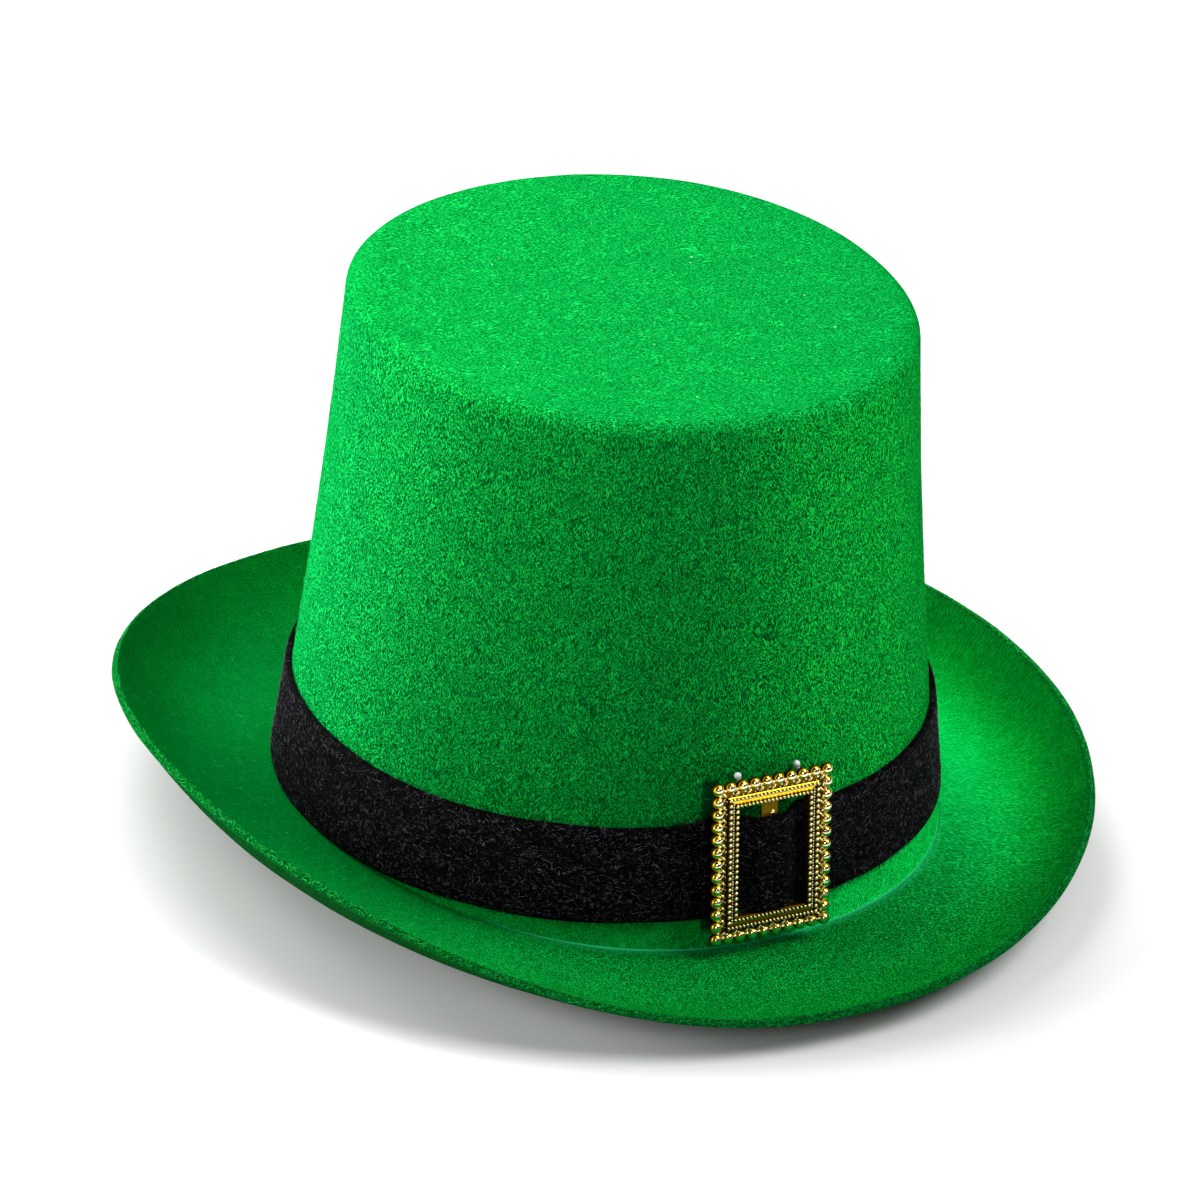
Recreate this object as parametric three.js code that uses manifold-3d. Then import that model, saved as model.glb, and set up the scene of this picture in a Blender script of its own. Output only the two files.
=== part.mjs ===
import * as THREE from "three";
import { mergeVertices } from "three/addons/utils/BufferGeometryUtils.js";
import Module from "manifold-3d";

const wasm = await Module();
wasm.setup();

// Green felt top hat with a black band and a gold buckle.
// Lengths are in mm, +Z is up, the front of the hat faces -Y and its left as seen from the front is -X.
// The origin is on the table under the middle of the brim.

// Felt body
const feltThickness = 2.4;
const crownHeight = 163; // table to the top of the tip
const crownHalfWidth = 96; // at the crease
const crownHalfDepth = 96.5;
const tipHalfWidth = 79.5;
const tipHalfDepth = 86;
const crownWaist = 1.3; // how far the wall dips in half way up
const tipEdgeRadius = 4.6;
const crownPlanPower = 2.1; // 2 is an ellipse, more is squarer
const crownShiftX = 3.8; // crown from the middle of the brim
const crownShiftY = 3.4;
const creaseLift = 9; // the crease climbs this much on the left side
const brimHalfWidth = 137;
const brimHalfDepth = 151.5;
const brimPlanPower = 2.07;
const brimFlat = 6; // level stretch beside the crown
const brimRiseLeft = 39; // top corner of the edge above the table
const brimRiseRight = 27;
const brimRiseFront = 11.3;
const brimRiseBack = 20;
const brimCurlPower = 2.27; // how late the brim turns up
const brimCurlPowerRight = 3.6; // later on the right

// Band
const clearance = 0.3; // between pieces that touch
const bandWidth = 28.9;
const bandThickness = 1.7;
const bandTilt = 1.5; // the right side sits this much above the middle
const bandRelease = 34; // where the band leaves the crown, from the buckle's middle
const bandSettle = 27; // where its lifted top edge is level again
const bandSlack = 0.35; // share of the room behind the frame that it takes up
const bandLap = 16; // length of the overlap at the back

// Buckle, measured along rows of bead centres
const beadPitch = 3.87;
const beadsAcross = 10;
const beadsTall = 13;
const beadRadius = 1.8;
const buckleBottom = 8.2; // lowest bead row above the table
const buckleShift = -0.3; // to the right of the crown's middle
const buckleStandoff = 4; // back of the frame to the crown
const plateThickness = 2.2;
const plateEdge = 0.3; // plate edge inside the bead row
const rimStart = 2.9; // raised inner border, from the bead row inwards
const rimEnd = 6.2;
const rimThickness = 3.1;
const ridgeWidth = 1;
const ridgeHeight = 0.45;
const leafInset = 1.75; // middle of the ornament row
const leafRadius = 0.95;
const barWidth = 4.7;
const barThickness = 1.5;

// Clear nylon fasteners, one plain strand with a round head each
const strandRadius = 0.5;
const headRadius = 1.05;
const fastenerSpacing = 19;
const fastenerShift = 0.9; // middle of the pair from the buckle's middle
const fastenerRise = 0.9; // heads above the top bead row
const strandRun = 5.1; // sideways travel from head to foot
const strandDrop = 10.1;

// Facets
const bodySegments = 56;
const bandSegments = 84;
const wallRings = 6;
const brimRings = 6;
const cornerRings = 4;
const beadSides = 10;
const beadRings = 6;
const leafSides = 6;
const strandSides = 8;

const across = (beadsAcross - 1) * beadPitch;
const tall = (beadsTall - 1) * beadPitch;

function powered(value, power) {
  return Math.sign(value) * Math.abs(value) ** (2 / power);
}

// Half width and half depth of the crown at a height
function crownHalves(height) {
  const rise = (height - feltThickness) / (crownHeight - feltThickness);
  const dip = -4 * crownWaist * rise * (1 - rise);
  return {
    width: THREE.MathUtils.lerp(crownHalfWidth, tipHalfWidth, rise) + dip,
    depth: THREE.MathUtils.lerp(crownHalfDepth, tipHalfDepth, rise) + dip,
  };
}

function wallPoint(angle, height, outward) {
  const half = crownHalves(height);
  return new THREE.Vector3(
    crownShiftX + (half.width + outward) * powered(Math.cos(angle), crownPlanPower),
    crownShiftY + (half.depth + outward) * powered(Math.sin(angle), crownPlanPower),
    height,
  );
}

// The crown's front wall at a sideways distance from its middle
function frontWallY(sideways, height) {
  const half = crownHalves(height);
  const share = 1 - Math.abs(sideways / half.width) ** crownPlanPower;
  return crownShiftY - half.depth * share ** (1 / crownPlanPower);
}

function creaseHeight(angle) {
  const leftwards = Math.max(0, -Math.cos(angle));
  return feltThickness + creaseLift * leftwards ** 2;
}

function edgePoint(angle) {
  const sideways = Math.cos(angle);
  const lengthways = Math.sin(angle);
  const sideRise = sideways < 0 ? brimRiseLeft : brimRiseRight;
  const endRise = lengthways < 0 ? brimRiseFront : brimRiseBack;
  return new THREE.Vector3(
    brimHalfWidth * powered(sideways, brimPlanPower),
    brimHalfDepth * powered(lengthways, brimPlanPower),
    sideRise * sideways ** 2 + endRise * lengthways ** 2,
  );
}

// A point of the brim's top or underside; share runs from 0 where the level stretch ends to 1 at the edge
function brimPoint(angle, share, under) {
  const root = wallPoint(angle, creaseHeight(angle), 0);
  const edge = edgePoint(angle);
  const outwards = new THREE.Vector3(edge.x - root.x, edge.y - root.y, 0);
  const width = outwards.length();
  outwards.normalize();
  const power = THREE.MathUtils.lerp(brimCurlPower, brimCurlPowerRight, Math.max(0, Math.cos(angle)) ** 2);
  const rise = edge.z - root.z;
  const slope = (rise * power * Math.max(0, share) ** (power - 1)) / (width - brimFlat);
  const point = root.clone().addScaledVector(outwards, brimFlat + (width - brimFlat) * share);
  point.z = root.z + rise * Math.max(0, share) ** power;
  if (under) {
    const down = outwards.multiplyScalar(slope).add(new THREE.Vector3(0, 0, -1)).normalize();
    point.addScaledVector(down, feltThickness);
  }
  return point;
}

function ring(angles, pointAt) {
  return angles.map(pointAt);
}

function evenAngles(count) {
  return Array.from({ length: count }, (_, step) => (step / count) * 2 * Math.PI);
}

// Joins rings of points into one closed skin; a ring of one point is a pole
function skinGeometry(rings, closeLoop) {
  const positions = [];
  const starts = [];
  for (const points of rings) {
    starts.push(positions.length / 3);
    for (const point of points) positions.push(point.x, point.y, point.z);
  }
  const indices = [];
  const pairs = closeLoop ? rings.length : rings.length - 1;
  for (let upper = 0; upper < pairs; upper++) {
    const lower = (upper + 1) % rings.length;
    const count = Math.max(rings[upper].length, rings[lower].length);
    for (let step = 0; step < count; step++) {
      const next = (step + 1) % count;
      const upperHere = starts[upper] + (step % rings[upper].length);
      const upperNext = starts[upper] + (next % rings[upper].length);
      const lowerHere = starts[lower] + (step % rings[lower].length);
      const lowerNext = starts[lower] + (next % rings[lower].length);
      if (lowerHere !== lowerNext) indices.push(upperHere, lowerHere, lowerNext);
      if (upperHere !== upperNext) indices.push(upperHere, lowerNext, upperNext);
    }
  }
  const geometry = new THREE.BufferGeometry();
  geometry.setAttribute("position", new THREE.Float32BufferAttribute(positions, 3));
  geometry.setIndex(indices);
  geometry.computeVertexNormals();
  return geometry;
}

// Rings of the crown wall from under the tip's corner down to the crease
function crownWallRings(angles, outward, topHeight, count) {
  const rings = [];
  for (let step = 0; step <= count; step++) {
    const heightAt = (angle) => THREE.MathUtils.lerp(topHeight, creaseHeight(angle), step / count);
    rings.push(ring(angles, (angle) => wallPoint(angle, heightAt(angle), outward)));
  }
  return rings;
}

// Rings round the tip's corner, from its flat down to the wall
function tipCornerRings(angles, top, inset, radius) {
  const rings = [];
  for (let step = 0; step < cornerRings; step++) {
    const turn = (Math.PI / 2) * (1 - step / cornerRings);
    const outward = -inset - radius * (1 - Math.cos(turn));
    const height = top - radius * (1 - Math.sin(turn));
    rings.push(ring(angles, (angle) => wallPoint(angle, height, outward)));
  }
  return rings;
}

function brimTopRings(angles) {
  const rings = [];
  for (let step = 0; step <= brimRings; step++) {
    rings.push(ring(angles, (angle) => brimPoint(angle, step / brimRings, false)));
  }
  return rings;
}

function brimUnderRings(angles) {
  const rings = [];
  for (let step = brimRings; step >= 0; step--) {
    rings.push(ring(angles, (angle) => brimPoint(angle, step / brimRings, true)));
  }
  return rings;
}

// The felt turns from the brim's underside into the crown's inner wall
function innerBendRings(angles) {
  const rings = [];
  for (let step = 0; step < 3; step++) {
    const turn = (Math.PI / 2) * (step / 3);
    rings.push(ring(angles, (angle) => {
      const point = wallPoint(angle, creaseHeight(angle), -feltThickness * Math.sin(turn));
      point.z -= feltThickness * Math.cos(turn);
      return point;
    }));
  }
  return rings;
}

function feltBodyGeometry() {
  const angles = evenAngles(bodySegments);
  const innerRadius = Math.max(tipEdgeRadius - feltThickness, feltThickness / 6);
  const innerTop = crownHeight - feltThickness;
  const outerWall = crownWallRings(angles, 0, crownHeight - tipEdgeRadius, wallRings);
  const innerWall = crownWallRings(angles, -feltThickness, innerTop - innerRadius, wallRings - 2);
  return skinGeometry([
    [new THREE.Vector3(crownShiftX, crownShiftY, crownHeight)],
    ...tipCornerRings(angles, crownHeight, 0, tipEdgeRadius),
    ...outerWall,
    ...brimTopRings(angles),
    ...brimUnderRings(angles),
    ...innerBendRings(angles),
    ...innerWall.reverse(),
    ...tipCornerRings(angles, innerTop, feltThickness, innerRadius).reverse(),
    [new THREE.Vector3(crownShiftX, crownShiftY, innerTop)],
  ], false);
}

// The buckle leans with the crown's front wall
const wallBottomY = frontWallY(buckleShift, buckleBottom);
const wallTopY = frontWallY(buckleShift, buckleBottom + tall);
const buckleLean = Math.atan2(wallTopY - wallBottomY, tall);

// From the crown's front wall out to the back of the buckle's frame, at a height
function standoffAt(height) {
  const chordY = wallBottomY + (height - buckleBottom) * Math.tan(buckleLean);
  return frontWallY(buckleShift, height) - chordY + buckleStandoff / Math.cos(buckleLean);
}

function fade(value, full, gone) {
  return 1 - THREE.MathUtils.smoothstep(value, full, gone);
}

const bandBottom = feltThickness + creaseLift + clearance + bandTilt;
const windowHalf = across / 2 - rimEnd;

// Distance sideways from the buckle's middle, which only counts on the front half
function besideBuckle(angle, height) {
  if (Math.sin(angle) > 0) return Infinity;
  return Math.abs(wallPoint(angle, height, 0).x - crownShiftX - buckleShift);
}

// The band lies on the crown, slips behind the frame's sides and crosses over its centre bar
function bandOutward(angle, height) {
  const sideways = besideBuckle(angle, height);
  const room = Math.max(0, standoffAt(height) - 2 * clearance - bandThickness);
  const overBar = (1 - bandSlack) * room + barThickness + 2 * clearance + bandThickness;
  const barHalf = barWidth / 2 + clearance;
  const frameFade = fade(sideways, windowHalf, bandRelease);
  const barFade = fade(sideways, barHalf, windowHalf);
  return clearance + bandSlack * room * frameFade + overBar * barFade;
}

function bandLevel(angle) {
  return bandBottom + bandTilt * Math.cos(angle);
}

// Inside the buckle's window the band rides on the frame's sill, and its lift dies out beside it
function bandLift(angle, full, gone) {
  const level = bandLevel(angle);
  const bulge = buckleStandoff + barThickness + clearance + bandThickness;
  const sill = buckleBottom + rimEnd * Math.cos(buckleLean) + bulge * Math.sin(buckleLean) + clearance;
  return Math.max(0, sill - level) * fade(besideBuckle(angle, level), full, gone);
}

function bandFloor(angle) {
  return bandLevel(angle) + bandLift(angle, windowHalf * 0.75, windowHalf * 0.95);
}

function bandCeiling(angle) {
  return bandLevel(angle) + bandWidth + bandLift(angle, windowHalf, bandSettle);
}

function frontAngle(sideways) {
  const share = (sideways + buckleShift) / crownHalfWidth;
  const cosine = Math.sign(share) * Math.abs(share) ** (crownPlanPower / 2);
  return 2 * Math.PI - Math.acos(cosine);
}

// Even angles, closer ones where the band bulges over the bar, and a step at each end of the lap
function bandAngles() {
  const lapHalfAngle = bandLap / 2 / crownHalfDepth;
  const stepAngle = bandThickness / 4 / crownHalfDepth;
  const close = [];
  for (const side of [-1, 1]) {
    const corner = Math.PI / 2 + side * lapHalfAngle;
    close.push(corner, corner + side * stepAngle);
    for (let step = 0; step < 8; step++) {
      close.push(frontAngle(side * THREE.MathUtils.lerp(barWidth / 2, windowHalf, step / 7)));
    }
  }
  const near = (angle) => close.some((other) => Math.abs(other - angle) < stepAngle * 2);
  const angles = evenAngles(bandSegments).filter((angle) => !near(angle));
  return [...angles, ...close].sort((first, second) => first - second);
}

function hatBandGeometry() {
  const angles = bandAngles();
  const lapHalfAngle = bandLap / 2 / crownHalfDepth + bandThickness / 16 / crownHalfDepth;
  const layersAt = (angle) => (Math.abs(angle - Math.PI / 2) < lapHalfAngle ? 2 : 1);
  const heightAt = (angle, share) => THREE.MathUtils.lerp(bandFloor(angle), bandCeiling(angle), share);
  const rings = [];
  for (const share of [1, 0.5, 0]) {
    rings.push(ring(angles, (angle) => {
      const height = heightAt(angle, share);
      return wallPoint(angle, height, bandOutward(angle, height) + bandThickness * layersAt(angle));
    }));
  }
  for (const share of [0, 0.5, 1]) {
    rings.push(ring(angles, (angle) => {
      const height = heightAt(angle, share);
      return wallPoint(angle, height, bandOutward(angle, height));
    }));
  }
  return skinGeometry(rings, true);
}

function toManifold(geometry) {
  const plain = geometry.clone();
  plain.deleteAttribute("normal");
  plain.deleteAttribute("uv");
  const merged = mergeVertices(plain, 1e-4);
  return new wasm.Manifold(new wasm.Mesh({
    numProp: 3,
    vertProperties: new Float32Array(merged.attributes.position.array),
    triVerts: new Uint32Array(merged.index.array),
  }));
}

function fromManifold(solid) {
  const mesh = solid.getMesh();
  const geometry = new THREE.BufferGeometry();
  geometry.setAttribute("position", new THREE.BufferAttribute(mesh.vertProperties, 3));
  geometry.setIndex(new THREE.BufferAttribute(mesh.triVerts, 1));
  geometry.computeVertexNormals();
  return geometry;
}

function join(geometries) {
  const [first, ...rest] = geometries.map(toManifold);
  return fromManifold(rest.reduce((whole, piece) => whole.add(piece), first));
}

// A rectangle whose sides lie inset from the bead rows; the buckle's x is sideways, y along it, z outwards
function insetRectangle(PathClass, inset) {
  const half = across / 2 - inset;
  const path = new PathClass();
  path.moveTo(-half, inset);
  path.lineTo(half, inset);
  path.lineTo(half, tall - inset);
  path.lineTo(-half, tall - inset);
  path.closePath();
  return path;
}

function borderPlate(outerInset, innerInset, thickness) {
  const shape = insetRectangle(THREE.Shape, outerInset);
  shape.holes.push(insetRectangle(THREE.Path, innerInset));
  return new THREE.ExtrudeGeometry(shape, { depth: thickness, bevelEnabled: false });
}

// Places round the bead row, moved inwards by inset, one for each bead
function borderPlaces(inset) {
  const places = [];
  const half = across / 2 - inset;
  for (let column = 0; column < beadsAcross; column++) {
    const x = THREE.MathUtils.clamp(column * beadPitch - across / 2, -half, half);
    places.push([x, inset], [x, tall - inset]);
  }
  for (let row = 1; row < beadsTall - 1; row++) {
    const y = THREE.MathUtils.clamp(row * beadPitch, inset, tall - inset);
    places.push([-half, y], [half, y]);
  }
  return places;
}

function beadGeometry([x, y]) {
  const bead = new THREE.SphereGeometry(beadRadius, beadSides, beadRings);
  bead.rotateX(Math.PI / 2);
  return bead.translate(x, y, beadRadius);
}

function leafGeometry([x, y]) {
  const leaf = new THREE.SphereGeometry(leafRadius, leafSides, beadRings - 2);
  leaf.rotateX(Math.PI / 2);
  return leaf.translate(x, y, plateThickness);
}

function ridgeGeometry(start) {
  return borderPlate(start, start + ridgeWidth, rimThickness + ridgeHeight);
}

function buckleGeometry() {
  const ridgeInset = (rimEnd - rimStart) / 20;
  const bar = new THREE.BoxGeometry(barWidth, tall - rimStart, barThickness);
  return join([
    borderPlate(plateEdge, rimStart + plateEdge, plateThickness),
    borderPlate(rimStart, rimEnd, rimThickness),
    ridgeGeometry(rimStart + ridgeInset),
    ridgeGeometry(rimEnd - ridgeInset - ridgeWidth),
    bar.translate(0, tall / 2, barThickness / 2),
    ...borderPlaces(0).map(beadGeometry),
    ...borderPlaces(leafInset).map(leafGeometry),
  ]);
}

// The crown's wall in the buckle's own frame, as a z below the back of the buckle
function wallDepthAt(x, y) {
  const height = buckleBottom + y * Math.cos(buckleLean);
  const wallY = frontWallY(buckleShift + x, height);
  const chordY = wallBottomY + (height - buckleBottom) * Math.tan(buckleLean);
  return -buckleStandoff - (wallY - chordY) * Math.cos(buckleLean);
}

function onWall(x, y, radius) {
  return new THREE.Vector3(x, y, wallDepthAt(x, y) + clearance + radius);
}

function fastenerGeometry(side) {
  const headX = fastenerShift + (side * fastenerSpacing) / 2;
  const headY = tall + fastenerRise;
  const head = onWall(headX, headY, headRadius);
  const foot = onWall(headX + strandRun, headY - strandDrop, strandRadius);
  const along = foot.clone().sub(head);
  const strand = new THREE.CylinderGeometry(strandRadius, strandRadius, along.length(), strandSides);
  const turn = new THREE.Quaternion().setFromUnitVectors(new THREE.Vector3(0, 1, 0), along.clone().normalize());
  strand.applyQuaternion(turn);
  strand.translate(...head.clone().add(foot).multiplyScalar(0.5).toArray());
  return join([
    new THREE.SphereGeometry(headRadius, beadSides, beadRings).translate(...head.toArray()),
    strand,
    new THREE.SphereGeometry(strandRadius, strandSides, beadRings).translate(...foot.toArray()),
  ]);
}

function material(color, roughness, metalness) {
  return new THREE.MeshStandardMaterial({ color, roughness, metalness });
}

function greenFelt() {
  return material(0x0c8f3c, 0.95, 0);
}

function blackFelt() {
  return material(0x101114, 0.95, 0);
}

function goldPlating() {
  return material(0xd9a62e, 0.22, 1);
}

function clearNylon() {
  const nylon = material(0xdfe6e6, 0.25, 0);
  nylon.transparent = true;
  nylon.opacity = 0.55;
  return nylon;
}

function namedMesh(name, geometry, surface) {
  const mesh = new THREE.Mesh(geometry, surface);
  mesh.name = name;
  return mesh;
}

// The buckle's frame and its fasteners share a group that leans with the crown's front
function buckleGroup() {
  const group = new THREE.Group();
  group.rotation.x = Math.PI / 2 - buckleLean;
  group.position.set(
    crownShiftX + buckleShift,
    wallBottomY - buckleStandoff * Math.cos(buckleLean),
    buckleBottom + buckleStandoff * Math.sin(buckleLean),
  );
  group.add(namedMesh("buckle_frame", buckleGeometry(), goldPlating()));
  group.add(namedMesh("fastener_left", fastenerGeometry(-1), clearNylon()));
  group.add(namedMesh("fastener_right", fastenerGeometry(1), clearNylon()));
  return group;
}

const hat = new THREE.Group();
hat.add(namedMesh("felt_body", feltBodyGeometry(), greenFelt()));
hat.add(namedMesh("hat_band", hatBandGeometry(), blackFelt()));
hat.add(buckleGroup());

export default hat;
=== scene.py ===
import math
import random

import bmesh
import bpy
import numpy as np
from mathutils import Matrix, Vector, noise


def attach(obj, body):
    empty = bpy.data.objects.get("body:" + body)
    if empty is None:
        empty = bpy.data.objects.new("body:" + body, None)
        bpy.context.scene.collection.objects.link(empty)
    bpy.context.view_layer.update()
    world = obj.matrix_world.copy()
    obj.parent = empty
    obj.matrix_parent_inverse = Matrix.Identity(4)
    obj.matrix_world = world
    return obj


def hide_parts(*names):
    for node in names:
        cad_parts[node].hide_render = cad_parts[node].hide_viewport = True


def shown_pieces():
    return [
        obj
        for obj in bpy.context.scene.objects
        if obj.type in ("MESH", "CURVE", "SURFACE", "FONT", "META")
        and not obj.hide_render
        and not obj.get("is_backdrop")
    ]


# Green felt top hat with a black band and a gold buckle. Metres, +Z up, the front faces -Y.

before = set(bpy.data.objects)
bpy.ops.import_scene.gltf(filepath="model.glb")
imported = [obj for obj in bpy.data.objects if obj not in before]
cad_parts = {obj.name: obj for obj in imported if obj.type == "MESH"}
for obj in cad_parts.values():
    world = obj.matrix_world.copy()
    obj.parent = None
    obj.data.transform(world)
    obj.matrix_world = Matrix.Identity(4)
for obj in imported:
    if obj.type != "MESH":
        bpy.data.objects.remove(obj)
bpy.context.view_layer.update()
random.seed(31)
print("frame loaded")


# Small helpers for meshes and nodes

def powered(value, power):
    return np.sign(value) * np.abs(value) ** (2 / power)


def unitRows(rows):
    return rows / np.maximum(np.linalg.norm(rows, axis=-1, keepdims=True), 1e-12)


def gridFaces(rings, columns, wrapRings=False):
    pairs = rings if wrapRings else rings - 1
    here = np.arange(pairs)[:, None] * columns + np.arange(columns)[None, :]
    below = (np.arange(pairs)[:, None] + 1) % rings * columns + np.arange(columns)[None, :]
    faces = np.stack([here, below, np.roll(below, -1, 1), np.roll(here, -1, 1)], -1)
    return faces.reshape(-1, 4)


def placeObject(name, data):
    piece = bpy.data.objects.new(name, data)
    bpy.context.scene.collection.objects.link(piece)
    return piece


def meshPiece(name, points, faces, attributes=(), smooth=True):
    mesh = bpy.data.meshes.new(name)
    mesh.from_pydata(np.asarray(points).tolist(), [], [list(map(int, face)) for face in faces])
    for key, values in dict(attributes).items():
        values = np.asarray(values, dtype=np.float32)
        kind = "FLOAT" if values.ndim == 1 else "FLOAT_VECTOR"
        layer = mesh.attributes.new(key, kind, "POINT")
        layer.data.foreach_set("value" if values.ndim == 1 else "vector", values.ravel())
    mesh.polygons.foreach_set("use_smooth", [smooth] * len(mesh.polygons))
    mesh.validate()
    mesh.update()
    return placeObject(name, mesh)


def finishPiece(piece, surface, slotName, *nodes):
    piece.data.materials.append(surface)
    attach(piece, "root")
    if nodes:
        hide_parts(*nodes)
    return piece


def newSurface(name, **sockets):
    surface = bpy.data.materials.new(name)
    surface.use_nodes = True
    shader = surface.node_tree.nodes["Principled BSDF"]
    for key, value in sockets.items():
        shader.inputs[key.replace("_", " ")].default_value = value
    return surface.node_tree, shader, surface


def addNode(tree, kind, links=(), **sockets):
    node = tree.nodes.new("ShaderNode" + kind)
    for key, value in sockets.items():
        key = key.replace("_", " ")
        if key in node.inputs:
            node.inputs[key].default_value = value
        else:
            setattr(node, key.replace(" ", "_"), value)
    for key, source in dict(links).items():
        tree.links.new(source, node.inputs[key])
    return node


def attributeOf(tree, name, output="Fac"):
    return addNode(tree, "Attribute", attribute_name=name).outputs[output]


def feed(tree, socket, value):
    # numbers and colours are set on the socket, outputs of other nodes are linked to it
    if isinstance(value, (int, float, tuple)):
        socket.default_value = value
    else:
        tree.links.new(value, socket)


def math2(tree, operation, first, second):
    node = addNode(tree, "Math", operation=operation)
    feed(tree, node.inputs[0], first)
    feed(tree, node.inputs[1], second)
    return node.outputs[0]


def times(tree, first, second):
    return math2(tree, "MULTIPLY", first, second)


def spread(tree, value, low, high, newLow=0.0, newHigh=1.0):
    node = addNode(tree, "MapRange", {"Value": value}, interpolation_type="SMOOTHSTEP",
                   From_Min=low, From_Max=high, To_Min=newLow, To_Max=newHigh)
    return node.outputs["Result"]


def mixColours(tree, share, first, second, blend="MIX"):
    node = addNode(tree, "Mix", data_type="RGBA", blend_type=blend)
    for index, value in ((0, share), (6, first), (7, second)):
        feed(tree, node.inputs[index], value)
    return node.outputs[2]


def tinted(tree, tone, factor):
    return mixColours(tree, 1.0, tone, factor, "MULTIPLY")


def mixValues(tree, share, first, second):
    node = addNode(tree, "Mix", data_type="FLOAT")
    for index, value in ((0, share), (2, first), (3, second)):
        feed(tree, node.inputs[index], value)
    return node.outputs[0]


def noiseOf(tree, place, scale, detail=2.0, roughness=0.5, distortion=0.0):
    node = addNode(tree, "TexNoise", {"Vector": place}, Detail=detail, Roughness=roughness,
                   Distortion=distortion)
    feed(tree, node.inputs["Scale"], scale)
    return node.outputs["Fac"]


def swirlOf(tree, place, scale, reach):
    # slow random drift that bends the strands one way and the other
    colour = addNode(tree, "TexNoise", {"Vector": place}, Scale=scale, Detail=1.0).outputs["Color"]
    centred = addNode(tree, "VectorMath", {0: colour}, operation="SUBTRACT")
    centred.inputs[1].default_value = (0.5, 0.5, 0.5)
    node = addNode(tree, "VectorMath", {0: centred.outputs[0]}, operation="SCALE")
    feed(tree, node.inputs["Scale"], reach)
    return node.outputs[0]


def moved(tree, place, shift):
    return addNode(tree, "VectorMath", {0: place, 1: shift}, operation="ADD").outputs[0]


def mapped(tree, place, turn, scale):
    return addNode(tree, "Mapping", {"Vector": place}, Rotation=(0, 0, turn), Scale=scale).outputs[0]


def objectPlace(tree, turn=0.0, stretch=1.0):
    # the object's own place, in millimetres
    return mapped(tree, addNode(tree, "TexCoord").outputs["Object"], turn, (1000 / stretch, 1000, 1000))


def bumpOf(tree, height, strength, distance):
    return addNode(tree, "Bump", {"Height": height}, Strength=strength, Distance=distance).outputs[0]


# Felt body

hat = {
    "felt": 0.0024,
    "height": 0.163,
    "baseHalf": (0.096, 0.0965),
    "tipHalf": (0.0795, 0.086),
    "waist": 0.0013,
    "tipRound": 0.0046,
    "planPower": 2.1,
    "shift": (0.0038, 0.0034),
    "creaseLift": 0.009,
    "brimHalf": (0.137, 0.1515),
    "brimPower": 2.07,
    "brimFlat": 0.006,
    "riseLeft": 0.039,
    "riseRight": 0.027,
    "riseFront": 0.0113,
    "riseBack": 0.020,
    "curl": 2.27,
    "curlRight": 3.6,
    "columns": 440,
    "unevenness": 0.0004,
    "edgeWander": 0.00035,
}


def crownHalves(height):
    rise = (height - hat["felt"]) / (hat["height"] - hat["felt"])
    dip = -4 * hat["waist"] * rise * (1 - rise)
    return [base + (tip - base) * rise + dip for base, tip in zip(hat["baseHalf"], hat["tipHalf"])]


def wallPoint(angle, height, outward=0.0):
    halves = crownHalves(height)
    x = hat["shift"][0] + (halves[0] + outward) * powered(np.cos(angle), hat["planPower"])
    y = hat["shift"][1] + (halves[1] + outward) * powered(np.sin(angle), hat["planPower"])
    return np.stack([x, y, height + 0 * angle], -1)


def frontWallY(sideways, height):
    halves = crownHalves(height)
    share = 1 - abs(sideways / halves[0]) ** hat["planPower"]
    return hat["shift"][1] - halves[1] * share ** (1 / hat["planPower"])


def creaseHeight(angle):
    return hat["felt"] + hat["creaseLift"] * np.maximum(0, -np.cos(angle)) ** 2


def edgePoint(angle):
    sideways, lengthways = np.cos(angle), np.sin(angle)
    sideRise = np.where(sideways < 0, hat["riseLeft"], hat["riseRight"])
    endRise = np.where(lengthways < 0, hat["riseFront"], hat["riseBack"])
    return np.stack([
        hat["brimHalf"][0] * powered(sideways, hat["brimPower"]),
        hat["brimHalf"][1] * powered(lengthways, hat["brimPower"]),
        sideRise * sideways ** 2 + endRise * lengthways ** 2,
    ], -1)


def brimPoint(angle, share, under=False):
    root, edge = wallPoint(angle, creaseHeight(angle)), edgePoint(angle)
    outwards = edge - root
    outwards[:, 2] = 0
    width = np.linalg.norm(outwards, axis=1)
    outwards = unitRows(outwards)
    rise = edge[:, 2] - root[:, 2]
    run = width - hat["brimFlat"]
    curl = hat["curl"] + (hat["curlRight"] - hat["curl"]) * np.maximum(0, np.cos(angle)) ** 2
    point = root + outwards * (hat["brimFlat"] + run * share)[:, None]
    point[:, 2] = root[:, 2] + rise * max(0, share) ** curl
    slope = rise * curl * max(0, share) ** (curl - 1) / run
    down = unitRows(outwards * slope[:, None] - np.array([0, 0, 1.0]))
    return point + down * hat["felt"] if under else point


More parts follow.
